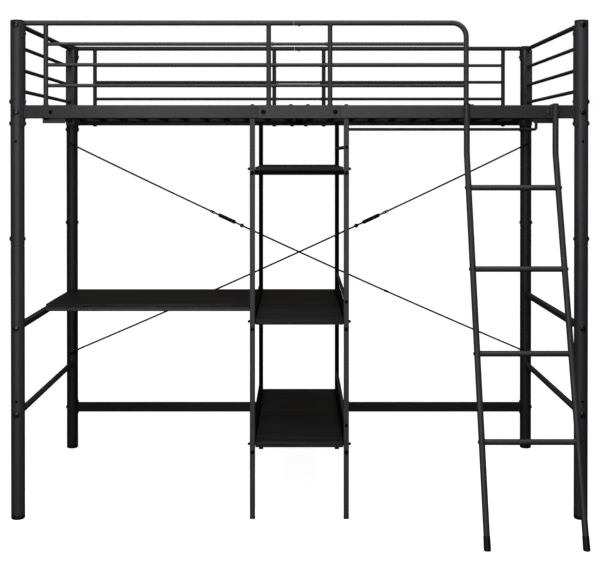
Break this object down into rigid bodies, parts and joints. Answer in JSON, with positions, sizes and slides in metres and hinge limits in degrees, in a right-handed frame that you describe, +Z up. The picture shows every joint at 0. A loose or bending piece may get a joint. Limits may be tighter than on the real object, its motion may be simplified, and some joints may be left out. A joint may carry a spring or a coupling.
{
  "type": "loft bed with desk",
  "caption": "Metal high-sleeper bed frame with guard rails and slatted deck over an open desk, a central shelf tower, cross bracing and a lift-off ladder.",
  "frame": {"origin": "on the floor, in the middle of the whole outline with the ladder in place", "axes": "+X along the bed towards the ladder's end, +Y from the ladder side to the back, +Z up"},
  "size_m": [2.09, 1.36, 1.8045],
  "materials": {
    "steel": "dark charcoal powder coat, satin, slightly blue",
    "board": "black foil board with a fine wood grain, satin",
    "plastic": "matt black moulded plastic",
    "zinc": "black-oxidised rod, slightly glossy"
  },
  "bodies": {
    "root": {"post_lower_front_left": "steel", "post_upper_front_left": "steel", "foot_front_left": "plastic", "post_lower_front_right": "steel", "post_upper_front_right": "steel", "foot_front_right": "plastic", "post_lower_back_left": "steel", "post_upper_back_left": "steel", "foot_back_left": "plastic", "post_lower_back_right": "steel", "post_upper_back_right": "steel", "foot_back_right": "plastic", "rail_front_left": "steel", "rail_front_right": "steel", "rail_splice_front": "steel", "rail_back_left": "steel", "rail_back_right": "steel", "rail_splice_back": "steel", "deck_panel_left": "steel", "deck_panel_right": "steel", "deck_centre_beam": "steel", "guard_front_left": "steel", "guard_front_right": "steel", "guard_back_left": "steel", "guard_back_right": "steel", "end_guard_left": "steel", "end_guard_right": "steel", "end_bar_upper_left": "steel", "end_bar_lower_left": "steel", "end_bar_upper_right": "steel", "end_bar_lower_right": "steel", "back_lower_rail": "steel", "shelf_leg_front_left": "steel", "shelf_leg_front_right": "steel", "shelf_leg_back_left": "steel", "shelf_leg_back_right": "steel", "shelf_frame_top": "steel", "shelf_board_top": "board", "stopper_bar_top": "steel", "shelf_frame_middle": "steel", "shelf_board_middle": "board", "stopper_bar_middle": "steel", "shelf_frame_bottom": "steel", "shelf_board_bottom": "board", "stopper_bar_bottom": "steel", "desk_board": "board", "desk_frame": "steel", "hanger_bar": "steel", "brace_a_upper_rod": "zinc", "brace_a_lower_rod": "zinc", "brace_b_upper_rod": "zinc", "brace_b_lower_rod": "zinc"},
    "ladder": {"ladder_stile_left": "steel", "ladder_stile_right": "steel", "ladder_rung_1": "steel", "ladder_rung_2": "steel", "ladder_rung_3": "steel", "ladder_rung_4": "steel"},
    "turnbuckle_a": {"brace_a_turnbuckle": "zinc"},
    "turnbuckle_b": {"brace_b_turnbuckle": "zinc"}
  },
  "joints": [
    {"name": "ladder_lift", "type": "slide", "parent": "root", "child": "ladder", "axis": [0, 0, 1], "range_m": [0, 0.08]},
    {"name": "turnbuckle_a_turn", "type": "hinge", "parent": "root", "child": "turnbuckle_a", "pos_m": [-0.321, 0.618, 1.03336], "axis": [0.9059, 0, -0.4234], "continuous": true},
    {"name": "turnbuckle_b_turn", "type": "hinge", "parent": "root", "child": "turnbuckle_b", "pos_m": [0.321, 0.61, 1.03336], "axis": [-0.9059, 0, -0.4234], "continuous": true}
  ]
}
